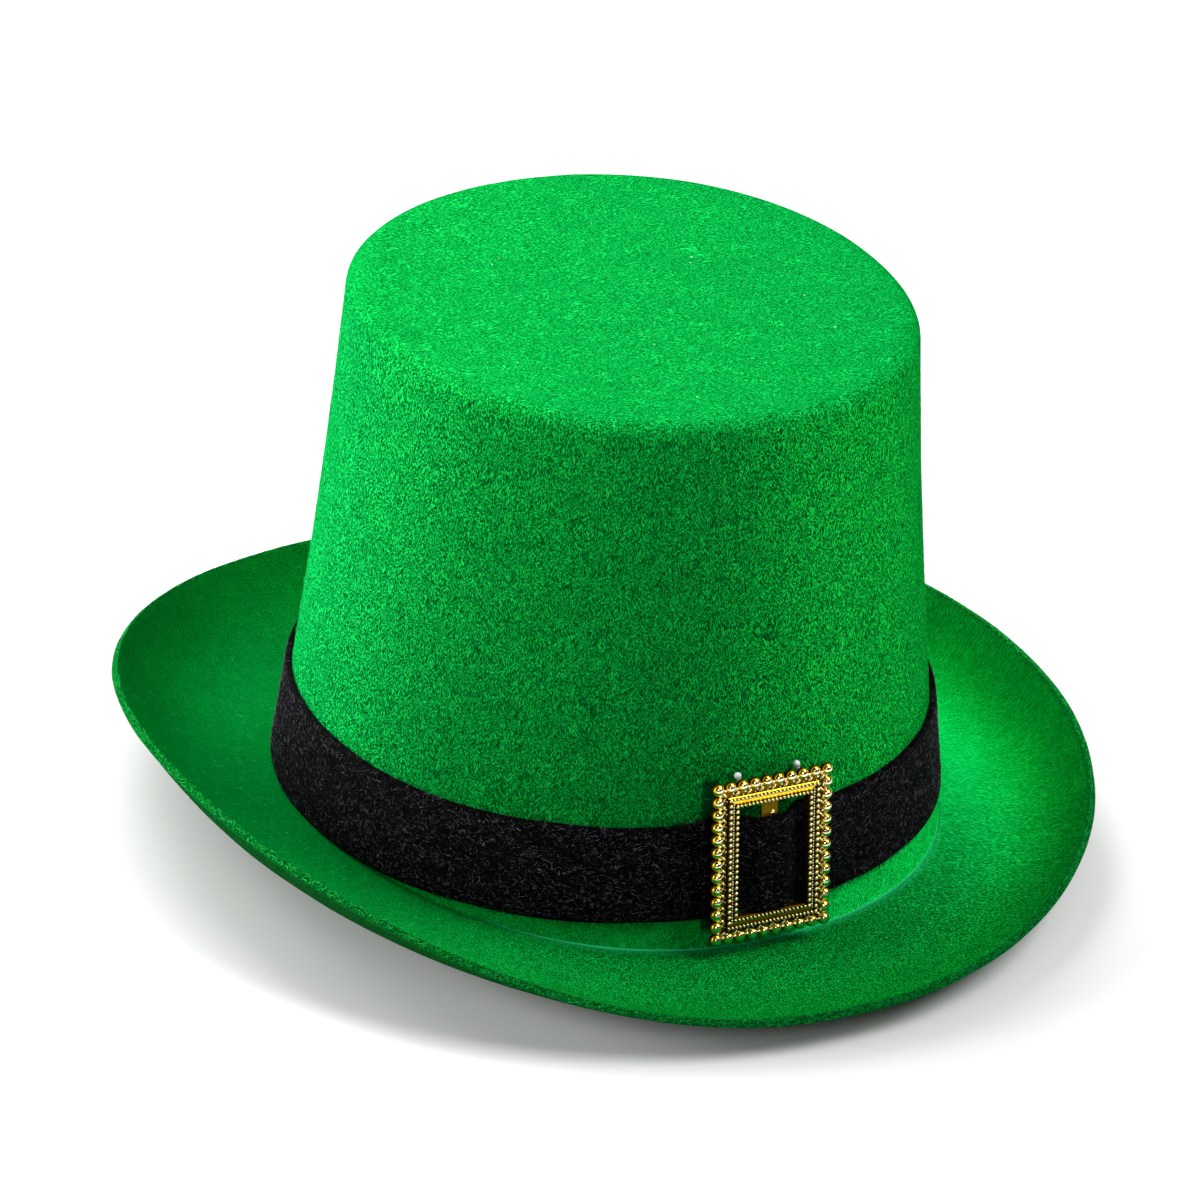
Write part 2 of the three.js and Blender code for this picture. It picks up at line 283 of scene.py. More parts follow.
def bodyRings(angle):
    # every ring is (points, side, part, share of the brim's width); side is +1 outside and -1 inside
    rings = []

    def put(points, side, part, share=0.0):
        rings.append((points, side, part, share))

    middle = np.array([hat["shift"][0], hat["shift"][1], 0])
    top, corner = hat["height"], hat["tipRound"]
    flat = wallPoint(angle, top, -corner)
    for share in np.linspace(0.004, 0.97, 30):
        put(middle + (flat - middle) * np.array([share, share, 1]), 1, "tip")
    for turn in np.linspace(math.pi / 2, 0, 9):
        height = top - corner * (1 - math.sin(turn))
        put(wallPoint(angle, height, -corner * (1 - math.cos(turn))), 1, "corner")
    wallTop = top - corner
    crease = creaseHeight(angle)
    for share in np.linspace(0, 1, 44)[1:]:
        low = crease + 0.0012
        put(wallPoint(angle, wallTop + (low - wallTop) * share), 1, "wall")
    # a soft fillet with a fine pressed line on it
    for up, out in ((0.0006, 0.00003), (0.0003, 0.00012)):
        put(wallPoint(angle, crease + up, out), 1, "wall")
    put(wallPoint(angle, crease + 0.00026, 0.0004), 1, "line")
    put(wallPoint(angle, crease, 0.001), 1, "brim")
    for share in (-0.035, 0.0):
        put(brimPoint(angle, share), 1, "brim")
    for share in np.linspace(0, 1, 41)[1:-1]:
        put(brimPoint(angle, share), 1, "brim", share)
    # the cut edge: two rounded corners, a shallow line between its two layers
    above, below = brimPoint(angle, 1.0), brimPoint(angle, 1.0, under=True)
    inner = brimPoint(angle, 0.985)
    outwards = unitRows(above - inner)
    down = below - above
    for depth, reach in ((0.02, -0.0003), (0.07, -0.00008), (0.16, 0.00006), (0.3, 0.00007), (0.42, 0.0),
                         (0.48, -0.00012), (0.55, 0.0), (0.68, 0.00006), (0.84, 0.00002), (0.93, -0.0001),
                         (0.98, -0.0003)):
        put(above + down * depth + outwards * reach, 1, "edge", 1.0)
    for share in (0.993, *np.linspace(1, 0, 20)[1:]):
        put(brimPoint(angle, share, under=True), -1, "under")
    for turn in np.linspace(0, math.pi / 2, 5):
        points = wallPoint(angle, crease, -hat["felt"] * math.sin(turn))
        points[:, 2] -= hat["felt"] * math.cos(turn)
        put(points, -1, "under")
    innerTop, innerRound = top - hat["felt"], corner - hat["felt"]
    for share in np.linspace(0, 1, 16)[1:]:
        put(wallPoint(angle, crease + (innerTop - innerRound - crease) * share, -hat["felt"]), -1, "inside")
    for turn in np.linspace(0, math.pi / 2, 5)[1:]:
        height = innerTop - innerRound * (1 - math.sin(turn))
        put(wallPoint(angle, height, -hat["felt"] - innerRound * (1 - math.cos(turn))), -1, "inside")
    flat = wallPoint(angle, innerTop, -corner)
    for share in (0.8, 0.55, 0.3, 0.004):
        put(middle + (flat - middle) * np.array([share, share, 1]), -1, "inside")
    return rings


def gridNormals(grid):
    along = np.roll(grid, -1, 1) - np.roll(grid, 1, 1)
    across = np.gradient(grid, axis=0)
    return unitRows(np.cross(across, along))


def softNoise(points, wavelength, seed=0.0):
    offset = Vector((seed, seed * 1.7, seed * 2.3))
    return np.array([noise.noise(Vector(point) / wavelength + offset) for point in points.tolist()])


def bandFade(points):
    # 0 where the band lies on the crown, so that it stays clear of the felt
    height = points[:, 2]
    fromWall = np.hypot(points[:, 0] - hat["shift"][0], points[:, 1] - hat["shift"][1])
    onBrim = np.clip((fromWall - 0.1) / 0.01, 0, 1)
    above = np.clip((height - 0.05) / 0.02, 0, 1)
    return np.maximum(onBrim * np.clip((fromWall - 0.1) / 0.03, 0, 1), above)


def smooth(value, low, high):
    share = np.clip((value - low) / (high - low), 0, 1)
    return share * share * (3 - 2 * share)


paintedShadeFacing = math.radians(-125)  # plan direction in which the crown's wall is painted darkest, as painted shade


# painted light and shade for the felt, with the strands' depth and the green's hue
napAndPaintedLight = {
    # painted light: tone of the brim beside the crown, and what is added toward each side
    "near": 0.68,
    "nearFront": 0.15,
    "nearRight": 0.48,
    "nearBackLeft": 0.06,
    "nearLeftLoss": 0.26,
    # painted light: tone of the brim at its edge
    "far": 0.4,
    "farFront": 0.26,
    "farRight": 0.14,
    # painted light and shade: tone of the crown's wall
    "wall": 1.64,
    "frontLoss": 0.7,
    "rightLoss": 0.28,
    "rise": 0.36,
    "behind": 0.62,
    # how deep the strands read on the wall and on the brim: grain, with its light strands and dark gaps
    # painted stronger toward the crown's front as painted light and shade
    "wallDepth": 0.9,
    "wallDepthFront": 1.4,
    "brimDepth": 0.28,
    "brimDepthFront": 0.85,
    # share of blue in the green, which follows the painted light and shade
    "wallBlue": 0.72,
    "brimBlue": 1.15,
    "tipBlue": 1.1,
}


def frontward(angle):
    return np.maximum(0, -np.sin(angle))


def facing(angle, low, high):
    return smooth(np.cos(angle - paintedShadeFacing), low, high)


def paintedLightTone(angle, share):
    # painted light: the brim is painted lighter where it lies flat beside the crown, most of all on the right,
    # and darker toward its edge
    backLeft = smooth(-np.cos(angle), 0.45, 0.75) * smooth(np.sin(angle), 0.0, 0.5)
    beside = smooth(-np.cos(angle), 0.7, 1.0)
    near = napAndPaintedLight["near"] + napAndPaintedLight["nearFront"] * frontward(angle)
    near = near + napAndPaintedLight["nearRight"] * smooth(np.cos(angle + 0.2), 0.3, 1.0)
    near = near + napAndPaintedLight["nearBackLeft"] * backLeft - napAndPaintedLight["nearLeftLoss"] * beside
    far = napAndPaintedLight["far"] + napAndPaintedLight["farFront"] * frontward(angle)
    far = far + napAndPaintedLight["farRight"] * smooth(np.cos(angle + 0.1), 0.7, 1.0)
    return near + (far - near) * smooth(share, 0.35, 1.0)


def wallPaintedLight(angle, high):
    # painted light and shade: the crown's wall is painted darker where it faces the front and lighter toward
    # its top there, darker on the right, and eased to a lower tone behind the crown
    tone = napAndPaintedLight["wall"] - napAndPaintedLight["frontLoss"] * facing(angle, 0.6, 1.0)
    tone = tone - napAndPaintedLight["rightLoss"] * smooth(np.cos(angle), 0.3, 1.0)
    tone = tone + napAndPaintedLight["rise"] * (high - 0.45) * facing(angle, 0.4, 0.8)
    behindCrown = smooth(-np.cos(angle - paintedShadeFacing), -0.42, 0.4)
    return tone + (napAndPaintedLight["behind"] - tone) * behindCrown


def wallDepth(angle):
    return napAndPaintedLight["wallDepth"] + napAndPaintedLight["wallDepthFront"] * facing(angle, 0.0, 0.8)


def blueShare(angle, share, onBrim, onTip):
    # painted light's hue: the green is painted bluer on the left of the crown and beside the band and yellower
    # in front and to the right, following the painted light and shade
    turn = np.sin(angle - paintedShadeFacing)
    wall = napAndPaintedLight["wallBlue"] - 0.15 * np.maximum(0, turn) + 0.48 * np.minimum(0, turn) ** 2
    onRight = smooth(np.cos(angle), 0.2, 0.8) * (1 - smooth(share, 0.1, 0.6))
    brim = napAndPaintedLight["brimBlue"] + 0.4 * onRight - 0.5 * smooth(share, 0.3, 0.9)
    brim = brim * (1 - 0.35 * frontward(angle))
    return wall + (napAndPaintedLight["tipBlue"] - wall) * onTip + (brim - wall) * onBrim


def creaseHighlightFade(angle):
    # painted highlight along the pressed line at the crease: it shows in front and dies out round the sides,
    # sooner on the left
    left = smooth(-np.sin(angle), 0.5, 0.95)
    right = smooth(-np.sin(angle), 0.3, 0.85)
    return np.where(np.cos(angle) < 0, left, right)


def grainDepth(angle):
    # the brim's nap is brushed flat, most of all on its left
    return napAndPaintedLight["brimDepth"] + napAndPaintedLight["brimDepthFront"] * frontward(angle) ** 2 - 0.03 * np.cos(angle)


def feltBody():
    angle = np.arange(hat["columns"]) / hat["columns"] * 2 * math.pi
    rings = bodyRings(angle)
    grid = np.array([ring[0] for ring in rings])
    sides = np.array([ring[1] for ring in rings])[:, None]
    parts = [ring[2] for ring in rings]
    shares = np.array([ring[3] for ring in rings])[:, None]
    count = grid.shape[0] * grid.shape[1]

    normals = gridNormals(grid)
    flatPoints = grid.reshape(-1, 3)
    swell = softNoise(flatPoints, 0.055) + 0.35 * softNoise(flatPoints, 0.021, 4.0)
    swell *= hat["unevenness"] * bandFade(flatPoints)
    # the tip only dips, so that it stays below the hat's height
    swell = np.where(flatPoints[:, 2] > hat["height"] - 0.001, -np.abs(swell), swell)
    signed = normals.reshape(-1, 3) * np.repeat(sides, grid.shape[1], 1).reshape(-1, 1)
    shaped = flatPoints + signed * swell[:, None]

    # the edge wanders a little, as scissors leave it
    wander = softNoise(edgePoint(angle), 0.03, 9.0) * hat["edgeWander"]
    outwards = unitRows(edgePoint(angle) * np.array([1, 1, 0]))
    reach = np.hypot(flatPoints[:, 0] / hat["brimHalf"][0], flatPoints[:, 1] / hat["brimHalf"][1])
    nearEdge = np.clip((reach - 0.9) / 0.1, 0, 1) ** 2
    shaped += np.tile(outwards * wander[:, None], (grid.shape[0], 1)) * nearEdge[:, None]
    shaped[:, 2] = np.maximum(shaped[:, 2], 0.0)

    # texture space: plan direction on a drum of fixed radius, and the way run along the felt
    steps = np.linalg.norm(np.diff(grid, axis=0), axis=2).mean(axis=1)
    run = np.concatenate([[0], np.cumsum(steps)])[:, None] + 0 * angle[None, :]
    drum, lean, stretch = 0.105, 4.0, 2.6
    creaseRun = run[parts.index("line")]
    brimStretch = 2.2 + 2.6 * smooth(np.cos(angle), 0.3, 0.9)[None, :]  # long streaks on the right only
    onCrown, beyond = np.minimum(run, creaseRun), np.maximum(0, run - creaseRun)
    spaces = {}
    for key, sign in (("grainLeft", 1), ("grainRight", -1)):
        # leans both ways, so the strands cross, and less on the brim, where they run outward
        turned = angle[None, :] + sign * (lean * onCrown + 1.2 * beyond)
        spaces[key] = 1000 * np.stack([
            drum * np.cos(turned), drum * np.sin(turned), onCrown / stretch + beyond / brimStretch,
        ], -1).reshape(-1, 3)

    def onParts(*names):
        # 1 on every point of the rings of these parts
        return np.array([[1.0 if part in names else 0.0] for part in parts]) + 0 * angle[None, :]

    # painted highlight on the crease's pressed line, fainter on the next ring
    onBrim, onCreaseHighlight = onParts("brim", "edge"), onParts("line")
    onCreaseHighlight[parts.index("line") + 1] = 0.3
    cornerShare = [1.0 if part == "tip" else 0.0 for part in parts]
    cornerRings = [row for row, part in enumerate(parts) if part == "corner"]
    for step, row in enumerate(cornerRings):
        cornerShare[row] = 1 - step / (len(cornerRings) - 1)
    onTip = np.array(cornerShare)[:, None] + 0 * angle[None, :]
    # painted light: the tip is painted lighter toward its left side
    fromLeft = (grid[:, :, 0] * math.cos(2.635) + grid[:, :, 1] * math.sin(2.635)) / hat["tipHalf"][0]
    high = np.clip((grid[:, :, 2] - 0.03) / (hat["height"] - 0.03), 0, 1)
    tone = wallPaintedLight(angle[None, :], high)
    tone += (1.14 + 0.14 * fromLeft - tone) * onTip
    depth = wallDepth(angle[None, :])
    depth = depth + (1 - depth) * onTip
    # painted light: the strip between the band and the crease is painted lighter and bluer, and its grain is
    # brushed flat
    nearCrease = 1 - smooth(grid[:, :, 2] - creaseHeight(angle)[None, :], 0.009, 0.014)
    tone = tone + (0.5 + 0.12 * smooth(np.cos(angle), -0.3, 0.3)[None, :]) * nearCrease
    depth = depth + (0.45 - depth) * nearCrease
    blue = blueShare(angle[None, :], shares, onBrim, onTip)
    blue = blue + (1.15 - blue) * nearCrease * (1 - onBrim)
    attributes = {
        **spaces,
        "tipShare": onTip.ravel(),
        "blueShare": blue.ravel(),
        "creaseHighlight": (onCreaseHighlight * creaseHighlightFade(angle)[None, :]).ravel(),
        "cutFace": onParts("edge").ravel(),
        # painted shade: the brim's underside and the crown's inside are painted dark
        "underShadeShare": onParts("under", "inside").ravel(),
        "brimShare": onBrim.ravel(),
        # painted light and shade of the wall, the tip and the brim
        "paintedLightTone": (tone + onBrim * (paintedLightTone(angle[None, :], shares) - tone)).ravel(),
        "grainDepth": (depth + onBrim * (grainDepth(angle[None, :]) - depth)).ravel(),
    }
    faces = gridFaces(grid.shape[0], grid.shape[1])[:, ::-1].tolist()
    columns = hat["columns"]
    faces.append(list(range(columns)))
    faces.append(list(range(count - columns, count))[::-1])
    return meshPiece("feltHat", shaped, faces, attributes)


# Buckle's place, shared by the band and the buckle

buckle = {
    "pitch": 0.00387,
    "beadsAcross": 10,
    "beadsTall": 13,
    "beadRadius": 0.0018,
    "bottom": 0.0082,
    "shift": -0.0003,
    "standoff": 0.004,
    "plate": 0.0022,
    "plateEdge": 0.0003,
    "rimStart": 0.0029,
    "rimEnd": 0.0062,
    "rim": 0.0031,
    "barWidth": 0.0047,
    "barThick": 0.0015,
    "leafInset": 0.0018,
    "pearlInsets": (0.0034, 0.00555),
    "pearlPitch": 0.0017,
    "twistPitch": 0.00122,
    "pearlRadius": 0.0006,
    "dotInset": 0.00447,
    "dotRadius": 0.0003,
}
across = (buckle["beadsAcross"] - 1) * buckle["pitch"]
tall = (buckle["beadsTall"] - 1) * buckle["pitch"]
wallLowY = frontWallY(buckle["shift"], buckle["bottom"])
wallHighY = frontWallY(buckle["shift"], buckle["bottom"] + tall)
buckleLean = math.atan2(wallHighY - wallLowY, tall)
buckleCorner = Vector((
    hat["shift"][0] + buckle["shift"],
    wallLowY - buckle["standoff"] * math.cos(buckleLean),
    buckle["bottom"] + buckle["standoff"] * math.sin(buckleLean),
))
buckleFrame = Matrix.Translation(buckleCorner) @ Matrix.Rotation(math.pi / 2 - buckleLean, 4, "X")


# Band

greenFelt = {
    "deep": (0.0, 0.065, 0.004, 1),
    "main": (0.0, 0.4, 0.034, 1),
    "light": (0.014, 0.9, 0.14, 1),
    # painted highlight along the crease's pressed line
    "line": (0.05, 1.0, 0.38, 1),
    "cutDark": (0.0, 0.035, 0.004, 1),
    "cutLight": (0.01, 0.42, 0.035, 1),
    # painted shade for the underside and the inside
    "under": (0.008, 0.04, 0.001, 1),
}


def shadeByBuckle(tree):
    # painted shadow: the cloth is painted dark close behind the buckle's left edge, where little light reaches
    # it
    left = hat["shift"][0] * 1000 + buckle["shift"] * 1000 - 1000 * across / 2
    place = addNode(tree, "SeparateXYZ", {0: objectPlace(tree)})
    nearEdge = spread(tree, place.outputs["X"], left - 1.6, left - 0.4)
    low, high = buckle["bottom"] * 1000, (buckle["bottom"] + tall) * 1000
    above = spread(tree, place.outputs["Z"], low - 2.0, low + 1.0)
    below = spread(tree, place.outputs["Z"], high + 1.5, high - 1.5)
    inFront = times(tree, spread(tree, place.outputs["Y"], 20, 10),
                    spread(tree, place.outputs["Y"], -116, -110))
    share = times(tree, times(tree, nearEdge, inFront), times(tree, above, below))
    right = spread(tree, place.outputs["X"], left + 5.0, left + 3.0)
    share = times(tree, share, right)
    return mixValues(tree, share, 1.0, 0.06)


def greenFeltSurface():
    tree, shader, surface = newSurface("greenFeltNap", Specular_IOR_Level=0.0, Sheen_Weight=0.2,
                                       Sheen_Roughness=0.45, Sheen_Tint=(0.0, 0.9, 0.2, 1))
    onTip, onBrim = attributeOf(tree, "tipShare"), attributeOf(tree, "brimShare")
    depth = times(tree, attributeOf(tree, "grainDepth"), mixValues(tree, onTip, 1.0, 0.75))
    fine = mixValues(tree, onBrim, 3.1, 3.3)
    bend = swirlOf(tree, objectPlace(tree), 0.12, mixValues(tree, onBrim, 4.0, 0.8))
    layers = []
    for key, turn in (("grainLeft", 0.3), ("grainRight", -0.4)):
        wallNoise = noiseOf(tree, moved(tree, attributeOf(tree, key, "Vector"), bend), fine, 1.0, 0.6, 0.3)
        tipNoise = noiseOf(tree, moved(tree, objectPlace(tree, turn, 2.4), bend), 3.4, 1.0, 0.6, 0.4)
        layers.append(mixValues(tree, onTip, wallNoise, tipNoise))
    strands = math2(tree, "MAXIMUM", layers[0], layers[1])
    gaps = math2(tree, "MINIMUM", layers[0], layers[1])
    place = objectPlace(tree)
    clump = noiseOf(tree, attributeOf(tree, "grainLeft", "Vector"), 0.4, 2.0, 0.6, 0.8)
    cloud = noiseOf(tree, place, 0.09, 3.0, 0.55)
    patch = noiseOf(tree, place, 0.02, 2.0, 0.5)

    lightShare = times(tree, spread(tree, strands, 0.53, 0.6), depth)
    darkShare = times(tree, spread(tree, gaps, 0.48, 0.4), depth)
    tone = mixColours(tree, lightShare, greenFelt["main"], greenFelt["light"])
    tone = mixColours(tree, darkShare, tone, greenFelt["deep"])
    shade = times(tree, spread(tree, cloud, 0.3, 0.7, 0.95, 1.04), spread(tree, patch, 0.3, 0.7, 0.96, 1.04))
    shade = times(tree, shade, spread(tree, clump, 0.35, 0.65, 0.94, 1.06))
    # painted light and shade from the body's tones, over random tone changes
    shade = times(tree, shade, attributeOf(tree, "paintedLightTone"))
    tone = tinted(tree, tone, shade)
    # the green's blue share, which follows the painted light and shade
    blue = addNode(tree, "CombineColor", {"Blue": attributeOf(tree, "blueShare")}, Red=1.0, Green=1.0)
    tone = tinted(tree, tone, blue.outputs[0])
    tone = tinted(tree, tone, shadeByBuckle(tree))

    # painted shade on the brim's underside and the crown's inside
    under = attributeOf(tree, "underShadeShare")
    tone = mixColours(tree, times(tree, under, 0.95), tone, greenFelt["under"])
    cutNoise = noiseOf(tree, place, 2.2, 2.0, 0.7, 0.6)
    cutTone = mixColours(tree, spread(tree, cutNoise, 0.5, 0.62), greenFelt["cutDark"], greenFelt["cutLight"])
    tone = mixColours(tree, attributeOf(tree, "cutFace"), tone, cutTone)
    # painted highlight along the crease's pressed line
    tone = mixColours(tree, spread(tree, attributeOf(tree, "creaseHighlight"), 0.02, 0.7), tone, greenFelt["line"])
    tree.links.new(tone, shader.inputs["Base Color"])

    height = times(tree, math2(tree, "ADD", layers[0], layers[1]), depth)
    tree.links.new(bumpOf(tree, height, 1.0, 0.003), shader.inputs["Normal"])
    rough = spread(tree, cloud, 0.3, 0.7, 0.86, 0.97)
    tree.links.new(rough, shader.inputs["Roughness"])
    return surface


feltHat = feltBody()
greenFeltNap = greenFeltSurface()
finishPiece(feltHat, greenFeltNap, "green_felt", "felt_body")
print("felt body made")


band = {
    "clearance": 0.0003,
    "width": 0.0289,
    "thick": 0.0017,
    "tilt": 0.0015,
    "release": 0.034,
    "settle": 0.027,
    "slack": 0.35,
    "lap": 0.016,
    "ramp": 0.014,
    "rows": 18,
    "rounding": 0.0004,
    "edgeWander": 0.00035,
    "columns": 900,
}


def fadeOut(value, full, gone):
    share = np.clip((value - full) / (gone - full), 0, 1)
    return 1 - share * share * (3 - 2 * share)


def standoffAt(height):
    chordY = wallLowY + (height - buckle["bottom"]) * math.tan(buckleLean)
    return frontWallY(buckle["shift"], height) - chordY + buckle["standoff"] / math.cos(buckleLean)


def besideBuckle(angle, height):
    x = wallPoint(angle, height)[:, 0]
    return np.where(np.sin(angle) > 0, 1.0, np.abs(x - hat["shift"][0] - buckle["shift"]))


windowHalf = across / 2 - buckle["rimEnd"]
bandBottom = hat["felt"] + hat["creaseLift"] + band["clearance"] + band["tilt"]


def bandOutward(angle, height):
    sideways = besideBuckle(angle, height)
    room = np.maximum(0, standoffAt(height) - 2 * band["clearance"] - band["thick"])
    overBar = (1 - band["slack"]) * room + buckle["barThick"] + 2 * band["clearance"] + band["thick"]
    barHalf = buckle["barWidth"] / 2 + band["clearance"]
    return (band["clearance"] + band["slack"] * room * fadeOut(sideways, windowHalf, band["release"])
            + overBar * fadeOut(sideways, barHalf, windowHalf))


def bandLevels(angle):
    # in the buckle's window the strip rides on the frame's sill
    level = bandBottom + band["tilt"] * np.cos(angle)
    bulge = buckle["standoff"] + buckle["barThick"] + band["clearance"] + band["thick"]
    sill = (buckle["bottom"] + buckle["rimEnd"] * math.cos(buckleLean)
            + bulge * math.sin(buckleLean) + band["clearance"])
    beside, lift = besideBuckle(angle, level), np.maximum(0, sill - level)
    low = level + lift * fadeOut(beside, windowHalf * 0.75, windowHalf * 0.95)
    high = level + band["width"] + lift * fadeOut(beside, windowHalf, band["settle"])
    return low, high


def bandStrip():
    # one strip from the back round to the back, its end lapped over its start
    half = band["lap"] / 2 / hat["baseHalf"][1]
    start = math.pi / 2 - half
    plain = np.linspace(0, 2 * math.pi + 2 * half, band["columns"])
    front = 3 * math.pi / 2 - start
    dense = front + np.linspace(-0.3, 0.3, 220)
    way = np.unique(np.concatenate([plain, dense]).round(6))
    angle = start + way
    low, high = bandLevels(angle)
    places = np.stack([np.cos(angle), np.sin(angle), 0 * angle], -1) * 0.1
    low = low + softNoise(places, 0.018, 2.0) * band["edgeWander"]
    high = high + softNoise(places, 0.016, 6.0) * band["edgeWander"]
    total = way[-1]
    rampAngle = band["ramp"] / hat["baseHalf"][1]
    lapped = 1 - fadeOut(way, total - 2 * half - rampAngle, total - 2 * half)
    extra = lapped * (band["thick"] + 0.00008)

    # outline of the strip's section: (share of width, outward from its inner face)
    rows, thick, soft = band["rows"], band["thick"], band["rounding"]
    shares = np.linspace(0, 1, rows)
    outline = [(share, thick) for share in shares[1:-1]][::-1]
    outline = [(1.0, thick * 0.72), (1.0 - 0.006, thick * 0.95)] + outline
    outline += [(0.006, thick * 0.95), (0.0, thick * 0.72), (0.0, thick * 0.28), (0.006, thick * 0.05)]
    outline += [(share, 0.0) for share in shares[1:-1]]
    outline += [(1 - 0.006, thick * 0.05), (1.0, thick * 0.28)]
    grid = []
    for share, out in outline:
        height = low + (high - low) * share
        grid.append(wallPoint(angle, height, bandOutward(angle, height) + out + extra))
    grid = np.array(grid)
    rings, columns = grid.shape[:2]
    faces = gridFaces(rings, columns, wrapRings=True)
    # the strip's two ends stay apart
    openFaces = [face for face in faces.tolist()
                 if {face[0] % columns, face[2] % columns} != {0, columns - 1}]
    startLoop = [ring * columns for ring in range(rings)]
    endLoop = [ring * columns + columns - 1 for ring in range(rings)]
    openFaces = [face[::-1] for face in openFaces] + [startLoop, endLoop[::-1]]
    edgeShare = np.array([1.0 if 0.0 < out < thick else 0.0 for share, out in outline])
    attributes = {
        "alongBand": 1000 * np.stack([
            np.broadcast_to(way * 0.1, (rings, columns)),
            np.array([[share * band["width"]] for share, out in outline]) + 0 * way,
            0 * grid[:, :, 0],
        ], -1).reshape(-1, 3),
        "cutEdge": np.repeat(edgeShare, columns),
    }
    return meshPiece("bandStrip", grid.reshape(-1, 3), openFaces, attributes)


blackFelt = {
    "deep": (0.0004, 0.0004, 0.0006, 1),
    "main": (0.001, 0.001, 0.0013, 1),
    "strand": (0.075, 0.073, 0.088, 1),
}


def blackFeltSurface():
    tree, shader, surface = newSurface("blackFeltNap", Specular_IOR_Level=0.03, Sheen_Weight=0.005,
                                       Sheen_Roughness=0.5, Sheen_Tint=(0.8, 0.82, 0.95, 1))
    along = attributeOf(tree, "alongBand", "Vector")
    place = moved(tree, along, swirlOf(tree, along, 0.11, 9.0))
    layers = []
    for turn, stretch in ((0.5, 6.0), (-0.7, 5.0)):
        layers.append(noiseOf(tree, mapped(tree, place, turn, (1 / stretch, 1, 1)), 1.9, 3.0, 0.65, 0.3))
    strands = math2(tree, "MAXIMUM", layers[0], layers[1])
    cloud = noiseOf(tree, along, 0.16, 2.0, 0.5)
    tone = mixColours(tree, spread(tree, strands, 0.5, 0.62), blackFelt["deep"], blackFelt["main"])
    bright = times(tree, spread(tree, strands, 0.6, 0.72), spread(tree, cloud, 0.35, 0.6, 0.5, 1.0))
    tone = mixColours(tree, bright, tone, blackFelt["strand"])
    tone = tinted(tree, tone, shadeByBuckle(tree))
    tree.links.new(tone, shader.inputs["Base Color"])
    height = math2(tree, "ADD", layers[0], layers[1])
    tree.links.new(bumpOf(tree, height, 0.8, 0.0005), shader.inputs["Normal"])
    tree.links.new(spread(tree, cloud, 0.3, 0.7, 0.84, 0.96), shader.inputs["Roughness"])
    return surface


bandPiece = bandStrip()
blackFeltNap = blackFeltSurface()
finishPiece(bandPiece, blackFeltNap, "black_felt", "hat_band")
print("band made")


# Loose fibres, each a fine bent three-sided strand

def fibreMesh(name, strands, tint):
    # strands are (root, direction, up, length, bend, lift, radius)
    points, faces, tints = [], [], []
    for (root, along, up, length, bend, lift, radius), shade in zip(strands, tint):
        side = along.cross(up).normalized()
        base = len(points)
        steps = 2
        for step in range(steps + 1):
            share = step / steps
            centre = (root + along * (length * share) + side * (bend * length * share * share)
                      + up * (lift * math.sin(math.pi * min(1.0, share * 0.9 + 0.02))))
            thin = radius * (1.0 if 0 < step < steps else 0.35)
            for turn in range(3):
                swing = turn * 2 * math.pi / 3
                points.append(centre + (side * math.cos(swing) + up * math.sin(swing)) * thin)
                tints.append(shade)
        for step in range(steps):
            for turn in range(3):
                here = base + step * 3 + turn
                nextTurn = base + step * 3 + (turn + 1) % 3
                faces.append((here, nextTurn, nextTurn + 3, here + 3))
        faces.append((base, base + 2, base + 1))
        faces.append(tuple(base + steps * 3 + turn for turn in range(3)))
    return meshPiece(name, np.array(points), faces, {"fibreTint": np.array(tints)})


def fibreSurface(name, dark, light):
    tree, shader, surface = newSurface(name, Roughness=0.7, Specular_IOR_Level=0.25)
    tone = mixColours(tree, attributeOf(tree, "fibreTint"), dark, light)
    tree.links.new(tone, shader.inputs["Base Color"])
    return surface


fibres = {
    "onCrown": 5200,
    "onBrim": 1600,
    "atEdge": 900,
    "onBand": 13500,
    "dust": 30,
    "radius": 0.00004,
}


def surfaceFrame(pointAt, first, second):
    # root, tangent along the first value, tangent along the second, outward normal
    step = 1e-3
    root = Vector(pointAt(first, second))
    one = (Vector(pointAt(first + step, second)) - root).normalized()
    two = (Vector(pointAt(first, second + step)) - root)
    if two.length < 1e-9:
        two = root - Vector(pointAt(first, second - step))
    two.normalize()
    return root, one, two, one.cross(two).normalized()


def fromAxis(root):
    return root - Vector((hat["shift"][0], hat["shift"][1], root.z))


def strandOn(root, one, two, up, length, lay, radius, lift):
    along = (one * math.cos(lay) + two * math.sin(lay)).normalized()
    bend = random.uniform(-0.5, 0.5)
    return (root + up * 0.00002, along, up, length, bend, lift, radius)


def crownPointAt(angle, share):
    low, high = 0.047, hat["height"] - hat["tipRound"]
    return wallPoint(np.array([angle]), low + (high - low) * share)[0]


def brimPointAt(angle, share):
    return brimPoint(np.array([angle]), share)[0]


def tipPointAt(angle, share):
    flat = wallPoint(np.array([angle]), hat["height"], -hat["tipRound"])[0]
    middle = np.array([hat["shift"][0], hat["shift"][1], hat["height"]])
    return middle + (flat - middle) * share


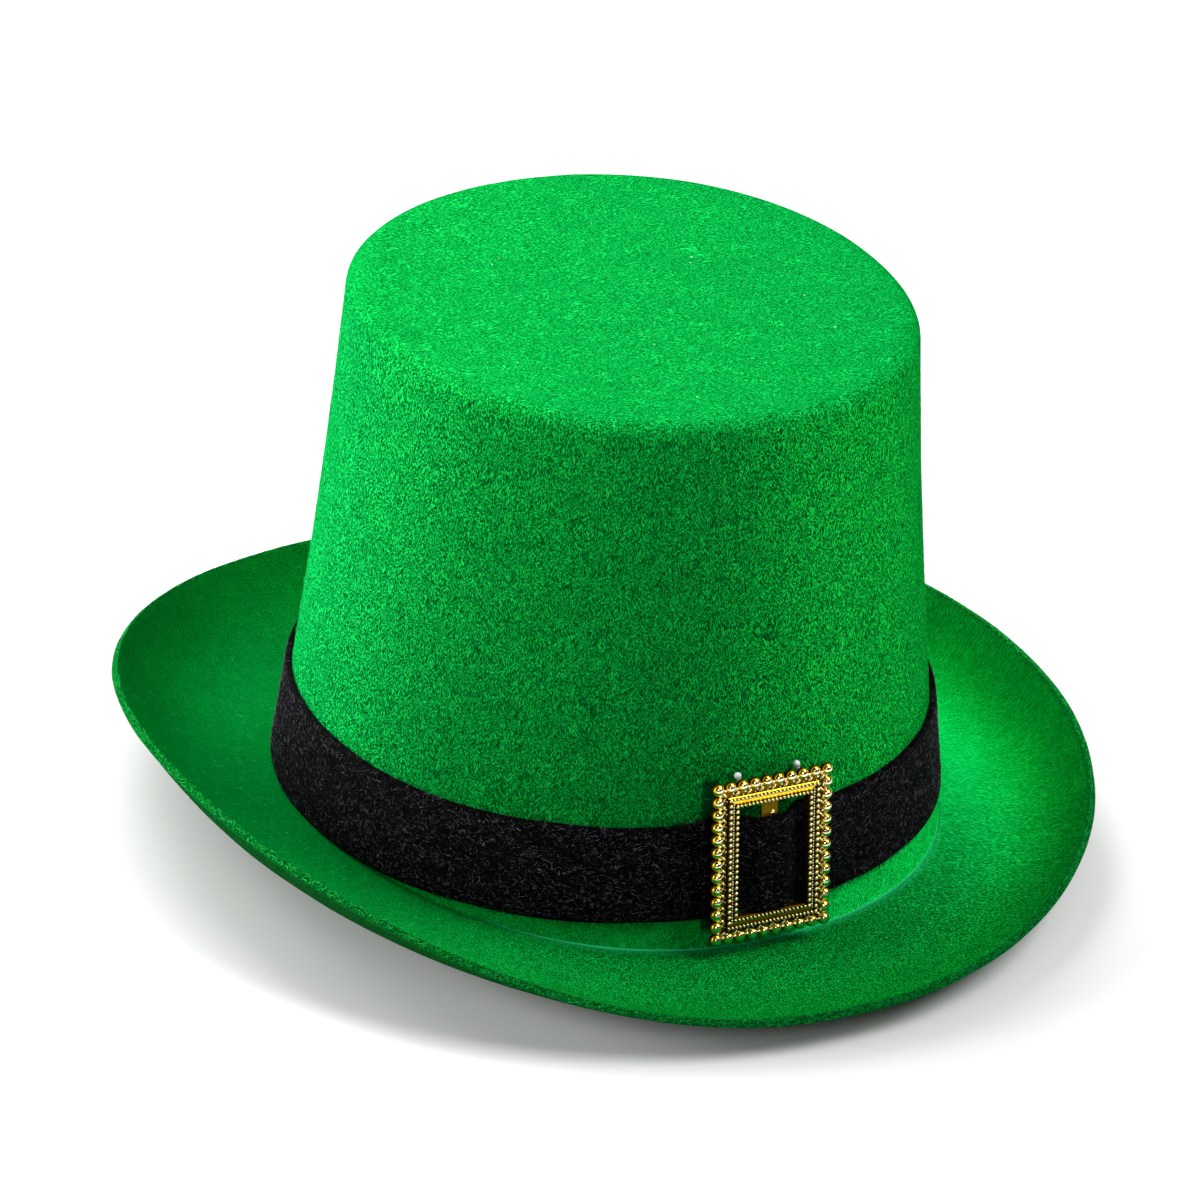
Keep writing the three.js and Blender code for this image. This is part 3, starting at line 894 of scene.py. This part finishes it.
def greenFibres():
    strands, tint = [], []
    for index in range(fibres["onCrown"]):
        angle = random.uniform(0, 2 * math.pi)
        onTip = index % 4 == 0
        share = math.sqrt(random.random()) if onTip else random.random()
        pointAt = tipPointAt if onTip else crownPointAt
        root, one, two, up = surfaceFrame(pointAt, angle, share * 0.985 + 0.005)
        if onTip:
            up = Vector((0, 0, 1))
        elif up.dot(fromAxis(root)) < 0:
            up = -up
        length = random.uniform(0.0008, 0.0022)
        lay = random.gauss(1.2, 0.8) * random.choice((-1, 1))
        lift = random.uniform(0.00008, 0.0003)
        strands.append(strandOn(root, one, two, up, length, lay, fibres["radius"], lift))
        tint.append(random.random())
    for index in range(fibres["onBrim"]):
        angle = random.uniform(0, 2 * math.pi)
        root, one, two, up = surfaceFrame(brimPointAt, angle, random.uniform(0.02, 0.97))
        if up.z < 0:
            up = -up
        length = random.uniform(0.0008, 0.0026)
        lay = random.gauss(1.3, 0.5) * random.choice((-1, 1))
        lift = random.uniform(0.00008, 0.00025)
        strands.append(strandOn(root, one, two, up, length, lay, fibres["radius"], lift))
        tint.append(random.random())
    for index in range(fibres["atEdge"]):
        angle = random.uniform(0, 2 * math.pi)
        above = Vector(brimPoint(np.array([angle]), 1.0)[0])
        inside = Vector(brimPoint(np.array([angle]), 0.985)[0])
        below = Vector(brimPoint(np.array([angle]), 1.0, under=True)[0])
        outwards = (above - inside).normalized()
        tangent = outwards.cross(Vector((0, 0, 1))).normalized()
        root = above.lerp(below, random.uniform(0.02, 0.95) ** 1.5) - outwards * 0.0001
        along = (tangent * random.choice((-1, 1)) + outwards * random.uniform(0.0, 0.35)).normalized()
        strands.append((root, along, outwards, random.uniform(0.0008, 0.0026), random.uniform(-0.3, 0.3),
                        random.uniform(0.00012, 0.0003), fibres["radius"]))
        tint.append(random.uniform(0.0, 0.6))
    return fibreMesh("greenFibres", strands, tint)


def bandPointAt(angle, share):
    place = np.array([angle])
    low, high = bandLevels(place)
    height = low + (high - low) * share
    return wallPoint(place, height, bandOutward(place, height) + band["thick"])[0]


def blackFibres():
    strands, tint = [], []
    lapHalf = band["lap"] / 2 / hat["baseHalf"][1] + band["ramp"] / hat["baseHalf"][1]
    while len(strands) < fibres["onBand"]:
        angle = random.uniform(0, 2 * math.pi)
        if abs(angle - math.pi / 2) < lapHalf * 1.3:
            continue
        root, one, two, up = surfaceFrame(bandPointAt, angle, random.uniform(0.015, 0.985))
        if up.dot(fromAxis(root)) < 0:
            up = -up
        swirl = noise.noise(Vector((root.x, root.y, root.z)) / 0.012 + Vector((5, 5, 5)))
        lay = swirl * 5.0 + random.gauss(0.4, 0.45)
        length = random.uniform(0.0005, 0.0015)
        lift = random.uniform(0.00006, 0.0002)
        strands.append(strandOn(root, one, two, up, length, lay, fibres["radius"] * 0.8, lift))
        tint.append(random.random() ** 2.4)
    return fibreMesh("bandFibres", strands, tint)


def dustSpecks():
    strands = []
    for index in range(fibres["dust"]):
        onTip = index % 3 < 2
        angle = random.uniform(0, 2 * math.pi) if onTip else random.uniform(math.pi, 2 * math.pi)
        pointAt = tipPointAt if onTip else crownPointAt
        root, one, two, up = surfaceFrame(pointAt, angle, random.uniform(0.2, 0.95))
        up = Vector((0, 0, 1)) if onTip else (up if up.dot(fromAxis(root)) > 0 else -up)
        strands.append(strandOn(root, one, two, up, random.uniform(0.0003, 0.0007), random.uniform(0, 6.3),
                                random.uniform(0.00008, 0.00016), 0.0001))
    return fibreMesh("dustSpecks", strands, [1.0] * len(strands))


greenFibreTone = fibreSurface("greenFibre", (0.0, 0.34, 0.05, 1), (0.04, 0.85, 0.22, 1))
blackFibreTone = fibreSurface("greyFibre", (0.006, 0.006, 0.008, 1), (0.3, 0.29, 0.35, 1))
paleDust = fibreSurface("paleDust", (0.3, 0.5, 0.35, 1), (0.8, 0.88, 0.8, 1))
finishPiece(greenFibres(), greenFibreTone, "green_felt")
finishPiece(dustSpecks(), paleDust, "green_felt")
finishPiece(blackFibres(), blackFibreTone, "black_felt")
print("loose fibres made")


# Buckle

def reliefLayer(bm):
    return bm.verts.layers.float.get("reliefShading") or bm.verts.layers.float.new("reliefShading")


def bevelledFrame(bm, outerInset, innerInset, low, high, chamfer, sideTone, endTone):
    # a rectangular border with chamfered upper corners, in the buckle's own frame
    half = across / 2
    reliefShading = reliefLayer(bm)
    sections = [(outerInset, low), (outerInset, high - chamfer), (outerInset + chamfer, high),
                (innerInset - chamfer, high), (innerInset, high - chamfer), (innerInset, low)]
    # each side has its own corners, so that its tone stops at the mitre
    for side in range(4):
        tone = endTone if side % 2 == 0 else sideTone
        loops = []
        for inset, z in sections:
            corners = [(-half + inset, inset), (half - inset, inset),
                       (half - inset, tall - inset), (-half + inset, tall - inset)]
            ends = [bm.verts.new((*corners[side], z)), bm.verts.new((*corners[(side + 1) % 4], z))]
            onFace = high - z < chamfer * 0.5
            for vertex in ends:
                # painted light and shade: the top and bottom bars take endTone and the sides sideTone, the
                # bottom bar is painted darker still, and the walls below the face are painted dark
                vertex[reliefShading] = (tone if side != 0 else tone * 0.4) * (1.0 if onFace else 0.1)
            loops.append(ends)
        for first, second in zip(loops, loops[1:] + loops[:1]):
            bm.faces.new((first[0], first[1], second[1], second[0]))


def roundLump(bm, centre, radii, turn=0.0, rings=8, sides=14, point=0.0, foot=0.0):
    # an ellipsoid lump, given painted shade toward its foot and painted highlight toward its top; point draws
    # one end out to a leaf's tip
    reliefShading = reliefLayer(bm)
    loops = []
    for ring in range(1, rings):
        tilt = math.pi * ring / rings
        loop = []
        for side in range(sides):
            swing = 2 * math.pi * side / sides
            x = math.sin(tilt) * math.cos(swing)
            y = math.sin(tilt) * math.sin(swing)
            x *= 1 - point * max(0, y)
            long = radii[1] * (1 + point * 0.5 * max(0, y))
            local = Vector((x * radii[0], y * long, math.cos(tilt) * radii[2]))
            vertex = bm.verts.new(Matrix.Rotation(turn, 3, "Z") @ local + Vector(centre))
            vertex[reliefShading] = max(0.0, min(1.0, (math.cos(tilt) - foot) / (1 - foot)))
            loop.append(vertex)
        loops.append(loop)
    top = bm.verts.new(Vector(centre) + Vector((0, 0, radii[2])))
    top[reliefShading] = 1.0
    bottom = bm.verts.new(Vector(centre) - Vector((0, 0, radii[2])))
    for side in range(sides):
        following = (side + 1) % sides
        bm.faces.new((top, loops[0][side], loops[0][following]))
        bm.faces.new((bottom, loops[-1][following], loops[-1][side]))
        for upper, lower in zip(loops, loops[1:]):
            bm.faces.new((upper[side], lower[side], lower[following], upper[following]))


def borderWalk(inset, pitch, skipCorners=False):
    # even places along the four sides, with the side's direction
    half = across / 2 - inset
    low, high = inset, tall - inset
    sides = [((-half, low), (half, low), 0.0), ((half, low), (half, high), math.pi / 2),
             ((half, high), (-half, high), math.pi), ((-half, high), (-half, low), -math.pi / 2)]
    places = []
    for index, (start, end, turn) in enumerate(sides):
        step = pitch[index % 2] if isinstance(pitch, tuple) else pitch
        length = math.dist(start, end)
        count = max(1, round(length / step))
        for stop in range(count):
            share = (stop + (0.5 if skipCorners else 0)) / count
            x = start[0] + (end[0] - start[0]) * share
            y = start[1] + (end[1] - start[1]) * share
            places.append((x, y, turn, index))
    return places


def bucklePiece(name, build, smooth=True):
    bm = bmesh.new()
    build(bm)
    bmesh.ops.recalc_face_normals(bm, faces=bm.faces)
    mesh = bpy.data.meshes.new(name)
    bm.to_mesh(mesh)
    bm.free()
    mesh.transform(buckleFrame)
    mesh.polygons.foreach_set("use_smooth", [smooth] * len(mesh.polygons))
    mesh.update()
    return placeObject(name, mesh)


def castFrame(bm):
    bevelledFrame(bm, buckle["plateEdge"], buckle["rimStart"] + 0.0004, 0.0, buckle["plate"],
                  0.0003, 0.12, 0.2)
    bevelledFrame(bm, buckle["rimStart"] - 0.0002, buckle["rimEnd"], 0.0, buckle["rim"] - 0.0002,
                  0.00025, 0.08, 0.5)
    # low walls that carry the two pearl rows, with a channel between them
    for inset in buckle["pearlInsets"]:
        bevelledFrame(bm, inset - 0.00045, inset + 0.00045, buckle["rim"] - 0.0003, buckle["rim"] + 0.0001,
                      0.00012, 0.08, 0.2)


def centreBar(bm):
    half = buckle["barWidth"] / 2
    reliefShading = reliefLayer(bm)
    low, high = buckle["rimStart"] + 0.0002, tall - buckle["rimStart"] - 0.0002
    section = [(-half, 0.0), (-half, 0.0011), (-half + 0.0004, 0.0015),
               (half - 0.0004, 0.0015), (half, 0.0011), (half, 0.0)]
    loops = []
    for y in (low, high):
        loops.append([bm.verts.new((x, y, z)) for x, z in section])
    for step in range(len(section)):
        following = (step + 1) % len(section)
        bm.faces.new((loops[0][step], loops[0][following], loops[1][following], loops[1][step]))
    bm.faces.new(loops[0])
    bm.faces.new(loops[1][::-1])
    # painted shade: the whole bar is painted dark
    for vertex in bm.verts:
        vertex[reliefShading] = 0.16
    # small moulded boss near the bar's upper end
    roundLump(bm, (0.0006, tall - buckle["rimEnd"] - 0.0042, 0.0014), (0.0009, 0.0009, 0.0004))


def beadRow(bm):
    half, pitch, radius = across / 2, buckle["pitch"], buckle["beadRadius"]
    places = [(column * pitch - half, y) for column in range(buckle["beadsAcross"]) for y in (0.0, tall)]
    places += [(x, row * pitch) for row in range(1, buckle["beadsTall"] - 1) for x in (-half, half)]
    for x, y in places:
        roundLump(bm, (x, y, radius), [radius] * 3, rings=16, sides=26, foot=0.15)


def betweenBeads(bm):
    half, pitch = across / 2, buckle["pitch"]
    inset, z = 0.00045, buckle["plate"] + 0.0002
    for column in range(buckle["beadsAcross"] - 1):
        for y in (inset, tall - inset):
            roundLump(bm, ((column + 0.5) * pitch - half, y, z), (0.00062, 0.00042, 0.00048))
    for row in range(buckle["beadsTall"] - 1):
        for x in (-half + inset, half - inset):
            roundLump(bm, (x, (row + 0.5) * pitch, z), (0.00042, 0.00062, 0.00048))


def leafRow(bm):
    inset = buckle["leafInset"]
    z = buckle["plate"] + 0.0001
    for x, y, turn, side in borderWalk(inset, buckle["pitch"]):
        # a flame-shaped leaf leaning over, with a smaller one curled against it
        lean = turn + 0.75
        roundLump(bm, (x, y, z), (0.0005, 0.00108, 0.00095), lean - math.pi / 2, 8, 12, 0.55, 0.25)
        offset = Matrix.Rotation(turn, 3, "Z") @ Vector((buckle["pitch"] * 0.36, -0.0003, 0))
        roundLump(bm, (x + offset.x, y + offset.y, z), (0.0004, 0.00075, 0.0008), lean + 0.3, 7, 10, 0.5, 0.25)
        for along, away in ((0.5, 0.0006), (0.02, -0.00085), (0.68, -0.0007)):
            offset = Matrix.Rotation(turn, 3, "Z") @ Vector((buckle["pitch"] * along, away, 0))
            roundLump(bm, (x + offset.x, y + offset.y, z), (0.0003, 0.0003, 0.0006), 0, 6, 9, foot=0.25)


def pearlRows(bm):
    z, radius = buckle["rim"] + 0.0002, buckle["pearlRadius"]
    for inset in buckle["pearlInsets"]:
        for x, y, turn, side in borderWalk(inset, (buckle["twistPitch"], buckle["pearlPitch"])):
            radii, lean = (radius, radius * 1.05, radius), turn
            if side % 2 == 0:  # twisted rope look on the top and the bottom
                radii, lean = (radius * 0.62, radius * 1.15, radius * 0.95), turn + 0.72
            roundLump(bm, (x, y, z), radii, lean, 8, 12, foot=0.3)


def dotRow(bm):
    z = buckle["rim"]
    pitches = (buckle["twistPitch"], buckle["pearlPitch"] / 2)
    for x, y, turn, side in borderWalk(buckle["dotInset"], pitches, True):
        if side % 2:
            roundLump(bm, (x, y, z), [buckle["dotRadius"]] * 3, 0, 6, 8)


gold = {
    # top is a painted highlight and foot a painted shade; flank is the gold itself
    "top": (1.0, 0.96, 0.66, 1),
    "flank": (1.0, 0.66, 0.025, 1),
    "foot": (0.03, 0.012, 0.001, 1),
    "warm": (0.9, 0.5, 0.1, 1),
}


def goldSurface(name, roughness, metal, low, high):
    # painted shade and highlight: each lump turns from dark at its foot to gold to pale at its top between the
    # two given levels, and its foot is duller
    tree, shader, surface = newSurface(name, Metallic=metal)
    place = objectPlace(tree)
    reliefShading = attributeOf(tree, "reliefShading")
    blotch = noiseOf(tree, place, 0.35, 3.0, 0.6)
    tone = mixColours(tree, spread(tree, reliefShading, 0.0, low), gold["foot"], gold["flank"])
    warm = tinted(tree, tone, gold["warm"])
    tone = mixColours(tree, spread(tree, blotch, 0.5, 0.75, 0.0, 0.6), tone, warm)
    tone = mixColours(tree, spread(tree, reliefShading, low, high), tone, gold["top"])
    tree.links.new(tone, shader.inputs["Base Color"])
    grain = noiseOf(tree, place, 1.6, 2.0, 0.6)
    rough = spread(tree, grain, 0.3, 0.7, roughness, roughness + 0.1)
    rough = mixValues(tree, spread(tree, reliefShading, 0.0, low), 0.8, rough)
    tree.links.new(rough, shader.inputs["Roughness"])
    tree.links.new(bumpOf(tree, grain, 0.18, 0.0003), shader.inputs["Normal"])
    return surface


brightGold = goldSurface("brightGold", 0.13, 1.0, 0.5, 0.95)
beadGold = goldSurface("beadGold", 0.09, 1.0, 0.6, 0.97)
softGold = goldSurface("softGold", 0.25, 0.93, 0.4, 0.8)
leafGold = goldSurface("leafGold", 0.2, 0.96, 0.4, 1.0)
for name, build, smooth, surface in (
    ("buckleFrame", castFrame, False, brightGold), ("buckleBar", centreBar, False, brightGold),
    ("buckleBeads", beadRow, True, beadGold), ("buckleDots", betweenBeads, True, softGold),
    ("buckleLeaves", leafRow, True, leafGold), ("bucklePearls", pearlRows, True, softGold),
    ("buckleSeeds", dotRow, True, softGold),
):
    part = bucklePiece(name, build, smooth)
    finishPiece(part, surface, "gold_plating", "buckle_frame")
print("buckle made")


# Clear nylon fasteners over the top of the buckle

fastener = {
    "radius": 0.0005,
    "head": 0.00105,
    "spacing": 0.019,
    "shift": 0.0009,
    "rise": 0.0009,
    "run": 0.0051,
    "drop": 0.0101,
}


def wallDepthAt(x, y):
    height = buckle["bottom"] + y * math.cos(buckleLean)
    wallY = frontWallY(buckle["shift"] + x, height)
    chordY = wallLowY + (height - buckle["bottom"]) * math.tan(buckleLean)
    return -buckle["standoff"] - (wallY - chordY) * math.cos(buckleLean)


def tubeAlong(bm, path, radii, sides=12):
    loops = []
    for index, centre in enumerate(path):
        ahead = path[min(index + 1, len(path) - 1)] - path[max(index - 1, 0)]
        turn = ahead.to_track_quat("Z", "Y").to_matrix()
        loop = []
        for side in range(sides):
            swing = 2 * math.pi * side / sides
            spoke = turn @ Vector((math.cos(swing), math.sin(swing), 0))
            loop.append(bm.verts.new(centre + spoke * radii[index]))
        loops.append(loop)
    for first, second in zip(loops, loops[1:]):
        for side in range(sides):
            following = (side + 1) % sides
            bm.faces.new((first[side], first[following], second[following], second[side]))
    bm.faces.new(loops[0][::-1])
    bm.faces.new(loops[-1])


def fastenerShape(side):
    def build(bm):
        headX = fastener["shift"] + side * fastener["spacing"] / 2
        headY = tall + fastener["rise"]
        headZ = wallDepthAt(headX, headY) + band["clearance"] + fastener["head"]
        head = fastener["head"]
        roundLump(bm, (headX, headY, headZ), (head, head, head * 0.92), 0, 12, 20)
        footX, footY = headX + fastener["run"], headY - fastener["drop"]
        footZ = wallDepthAt(footX, footY) + band["clearance"] + fastener["radius"]
        path, radii = [], []
        for step in range(13):
            share = step / 12
            path.append(Vector((headX + (footX - headX) * share ** 1.15, headY + (footY - headY) * share,
                                headZ + (footZ - headZ) * share)))
            radii.append(fastener["radius"] * (1.35 - 0.35 * min(1, share * 5)) * (0.5 if step == 12 else 1))
        tubeAlong(bm, path, radii)
    return build


def nylonSurface():
    tree, shader, surface = newSurface("clearNylon", IOR=1.5, Transmission_Weight=0.1)
    place = objectPlace(tree)
    haze = noiseOf(tree, place, 0.8, 2.0, 0.5)
    tone = mixColours(tree, haze, (0.8, 0.85, 0.84, 1), (0.95, 0.97, 0.97, 1))
    tree.links.new(tone, shader.inputs["Base Color"])
    tree.links.new(spread(tree, haze, 0.3, 0.7, 0.1, 0.24), shader.inputs["Roughness"])
    return surface


clearNylon = nylonSurface()
for name, side in (("fastener_left", -1), ("fastener_right", 1)):
    part = bucklePiece("nylonTag" + ("Left" if side < 0 else "Right"), fastenerShape(side))
    finishPiece(part, clearNylon, "clear_nylon", name)
print("fasteners made")


# Floor, lights and camera

studio = {
    "floorHalf": 9.0,
    "floorTone": (0.66, 0.66, 0.66, 1),
    "horizon": (0.85, 0.85, 0.86, 1),
    "zenith": (0.3, 0.31, 0.32, 1),
    "worldStrength": 0.12,
    "aim": Vector((0, 0, 0.075)),
    # name: azimuth, elevation, distance, size, watts
    "lights": {
        "backBox": (180, 50, 2.2, 1.2, 49),
        "topBox": (95, 70, 2.2, 1.2, 8),
        "frontBox": (55, 50, 2.2, 1.2, 50),
        "leftBox": (-145, 35, 2.2, 1.2, 32),
        "lowLeftBox": (-110, 12, 2.2, 1.2, 80),
        "nearBox": (-22, 32, 2.4, 0.6, 8),
    },
}


def directionFrom(azimuth, elevation):
    turn, rise = math.radians(azimuth), math.radians(elevation)
    return Vector((math.sin(turn) * math.cos(rise), -math.cos(turn) * math.cos(rise), math.sin(rise)))


def makeFloor():
    bm = bmesh.new()
    bmesh.ops.create_grid(bm, x_segments=24, y_segments=24, size=studio["floorHalf"])
    mesh = bpy.data.meshes.new("studioFloor")
    bm.to_mesh(mesh)
    bm.free()
    floor = placeObject("studioFloor", mesh)
    tree, shader, surface = newSurface("palePaper", Roughness=0.85, Base_Color=studio["floorTone"],
                                       Specular_IOR_Level=0.1)
    floor.data.materials.append(surface)
    floor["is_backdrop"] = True


def makeLights():
    for name, (azimuth, elevation, distance, size, watts) in studio["lights"].items():
        data = bpy.data.lights.new(name, "AREA")
        data.shape = "SQUARE"
        data.size = size
        data.energy = watts
        lamp = placeObject(name, data)
        back = directionFrom(azimuth, elevation)
        lamp.location = studio["aim"] + back * distance
        lamp.rotation_euler = back.to_track_quat("Z", "Y").to_euler()


def makeWorld():
    world = bpy.data.worlds.new("studioAir")
    bpy.context.scene.world = world
    world.use_nodes = True
    tree = world.node_tree
    place = addNode(tree, "TexCoord").outputs["Generated"]
    height = addNode(tree, "SeparateXYZ", {0: place}).outputs["Z"]
    tone = mixColours(tree, spread(tree, height, 0.05, 0.5), studio["horizon"], studio["zenith"])
    background = tree.nodes["Background"]
    tree.links.new(tone, background.inputs["Color"])
    background.inputs["Strength"].default_value = studio["worldStrength"]


camera = {
    "azimuth": -29.09,
    "elevation": 26.73,
    "roll": 3.38,
    "distance": 3.0,
    "target": Vector((0, 0, 0.085)),
    "focalPixels": 10404.9,
    "imagePixels": 1200,
    "middle": (612.87, 546.21),  # where the camera's axis of the fit meets the image
    "sensor": 36.0,
}


def makeCamera():
    back = directionFrom(camera["azimuth"], camera["elevation"])
    level = Vector((math.cos(math.radians(camera["azimuth"])), math.sin(math.radians(camera["azimuth"])), 0))
    rise = back.cross(level)
    roll = math.radians(camera["roll"])
    right = level * math.cos(roll) + rise * math.sin(roll)
    up = rise * math.cos(roll) - level * math.sin(roll)
    half = camera["imagePixels"] / 2
    towards = (-back + right * ((half - camera["middle"][0]) / camera["focalPixels"])
               + up * ((camera["middle"][1] - half) / camera["focalPixels"])).normalized()
    axisX = (right - towards * right.dot(towards)).normalized()
    axisY = axisX.cross(towards)
    turn = Matrix((axisX, axisY, -towards)).transposed()
    data = bpy.data.cameras.new("studioCamera")
    data.sensor_width = camera["sensor"]
    data.lens = camera["focalPixels"] / camera["imagePixels"] * camera["sensor"]
    data.clip_start, data.clip_end = 0.1, 60
    holder = placeObject("studioCamera", data)
    holder.matrix_world = Matrix.Translation(camera["target"] + back * camera["distance"]) @ turn.to_4x4()
    bpy.context.scene.camera = holder


makeFloor()
makeLights()
makeWorld()
makeCamera()
view = bpy.context.scene.view_settings
view.view_transform = "Standard"
view.look = "None"
view.exposure = 0.0
view.gamma = 1.0
print("studio made")

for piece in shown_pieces():
    print(piece.name, len(piece.data.polygons))
